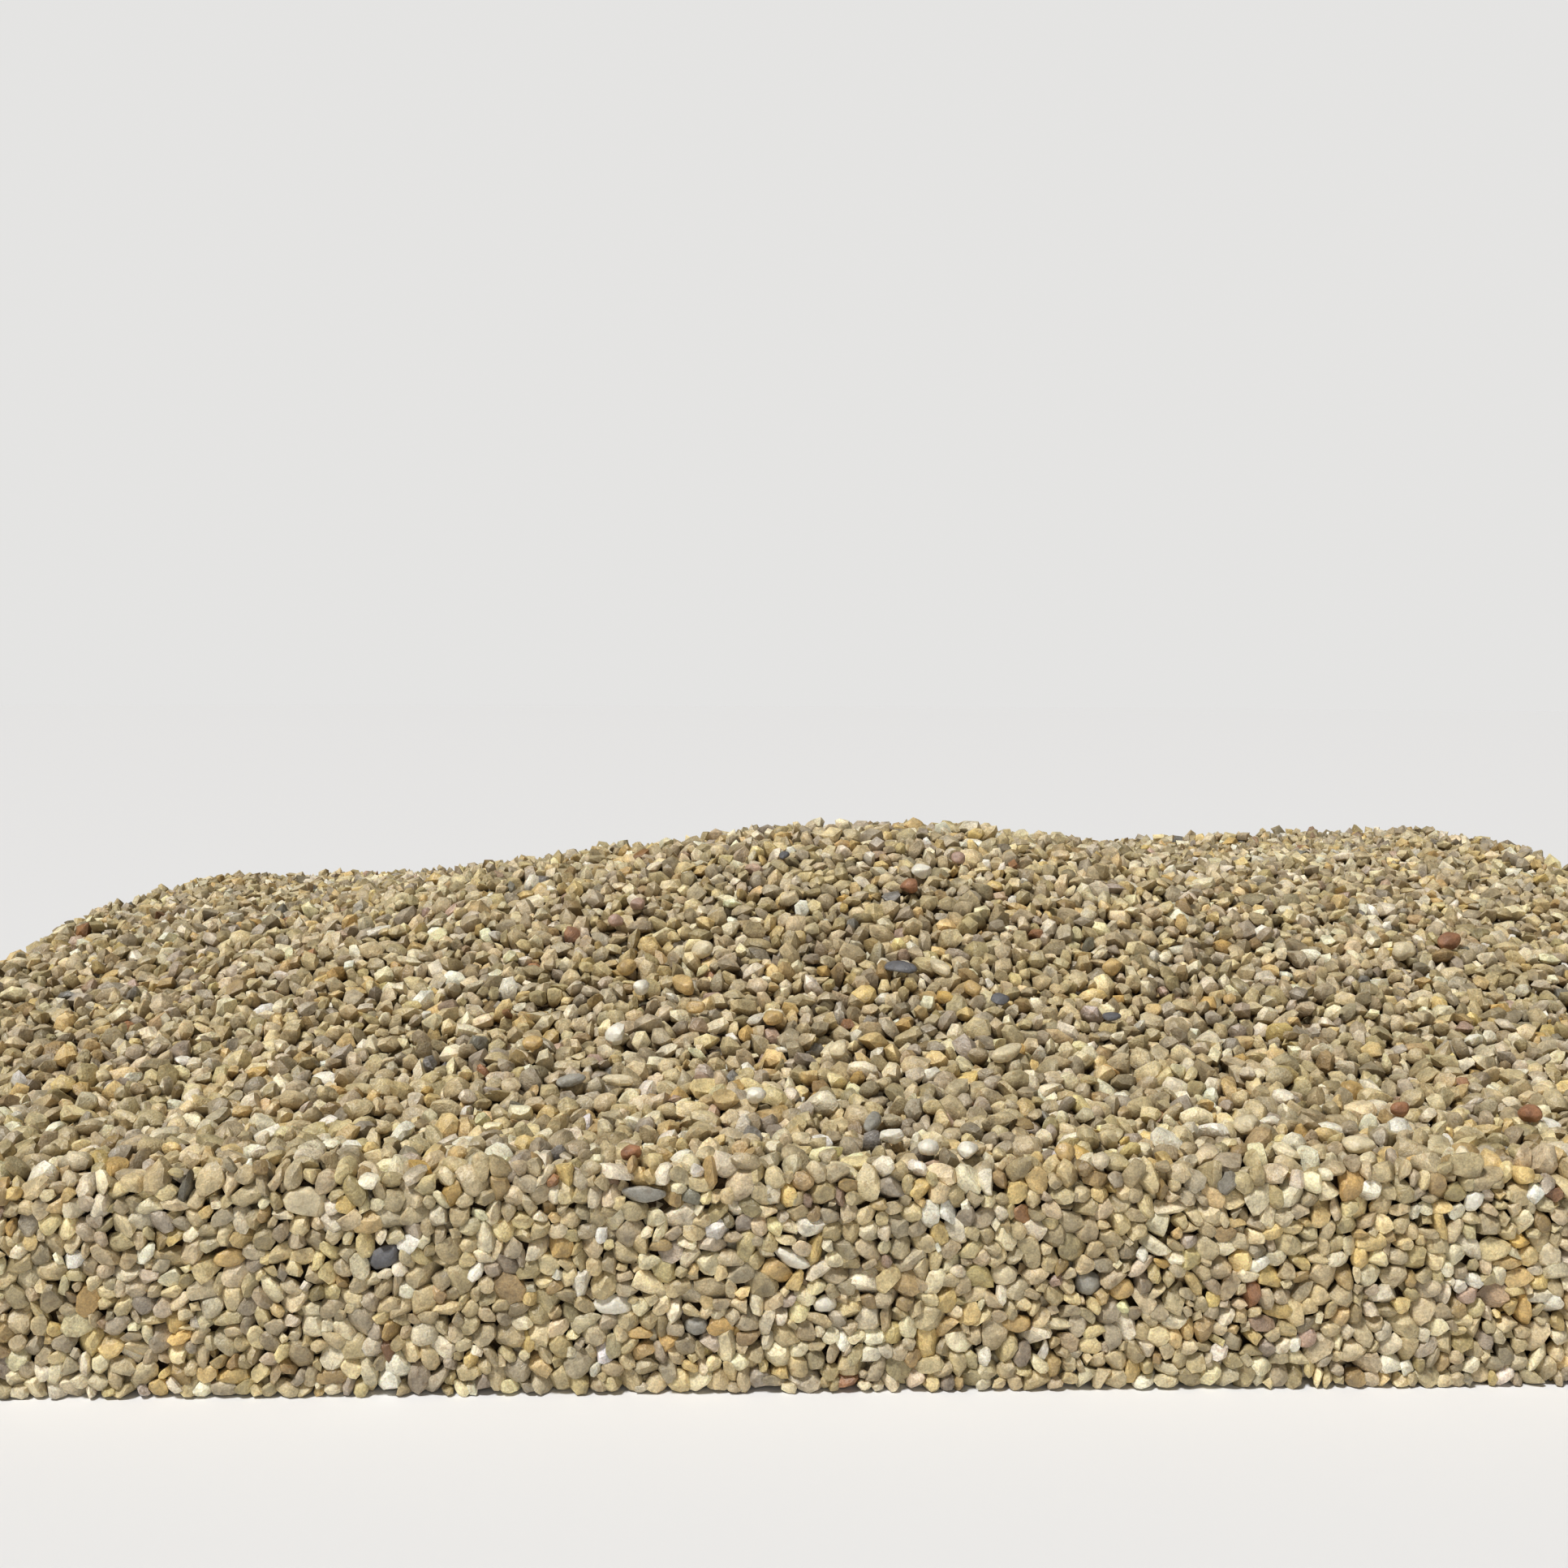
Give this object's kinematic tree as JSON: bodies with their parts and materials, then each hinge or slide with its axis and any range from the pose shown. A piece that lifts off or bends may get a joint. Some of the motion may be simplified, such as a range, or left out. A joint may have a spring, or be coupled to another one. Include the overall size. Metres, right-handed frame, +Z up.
{
  "type": "aquarium gravel bed",
  "caption": "Bed of mixed natural quartz gravel as it lies in a small aquarium: level front, central mound, rising back, with larger single stones showing.",
  "frame": {"origin": "middle of the bed's flat underside", "axes": "+X to the right along the long side, +Y towards the high back side, +Z up"},
  "size_m": [0.44, 0.29, 0.091],
  "materials": {
    "gravel": "satin",
    "white_quartz": "satin",
    "cream_quartz": "satin",
    "amber_quartz": "satin",
    "rust_stone": "matte",
    "rose_stone": "matte",
    "grey_stone": "matte",
    "slate": "matte"
  },
  "bodies": {
    "root": {"gravel_bed": "gravel", "slate_chip": "slate", "curved_cream_stone": "cream_quartz", "long_cream_stone": "cream_quartz", "left_white_pebble": "white_quartz", "right_white_pebble": "white_quartz", "pale_oval_stone": "white_quartz", "slanting_grey_stone": "grey_stone", "front_amber_pebble": "amber_quartz", "dark_grey_pebble": "slate", "small_slate_chip": "slate", "orange_pebble": "amber_quartz", "amber_wedge": "amber_quartz", "rust_pebble": "rust_stone", "mauve_pebble": "rose_stone", "upper_oval_stone": "white_quartz", "blue_grey_pebble": "slate", "white_diamond_stone": "white_quartz", "white_block": "white_quartz", "cream_triangle_stone": "cream_quartz", "round_white_pebble": "white_quartz", "left_amber_pebble": "amber_quartz", "lower_rose_pebble": "rose_stone", "upper_rose_pebble": "rose_stone", "honey_lump": "amber_quartz", "tall_honey_stone": "amber_quartz", "left_honey_block": "amber_quartz", "right_honey_block": "amber_quartz", "cream_block": "cream_quartz", "grey_bar": "grey_stone", "cream_bar": "cream_quartz", "front_orange_pebble": "rust_stone", "lumpy_cream_stone": "cream_quartz", "right_cream_stone": "cream_quartz", "right_brown_pebble": "rust_stone", "far_brown_pebble": "rust_stone", "far_beige_stone": "cream_quartz", "far_rust_stone": "rust_stone", "long_grey_front_stone": "grey_stone", "white_slab": "white_quartz", "slanting_white_stone": "white_quartz", "flat_amber_stone": "amber_quartz", "white_front_block": "white_quartz", "grey_front_pebble": "grey_stone", "slate_front_stone": "slate", "orange_front_stone": "amber_quartz", "beige_front_stone": "cream_quartz", "amber_front_stone": "amber_quartz", "round_orange_stone": "amber_quartz", "grey_round_stone": "grey_stone", "beige_round_stone": "cream_quartz", "white_right_stone": "white_quartz"}
  },
  "joints": []
}
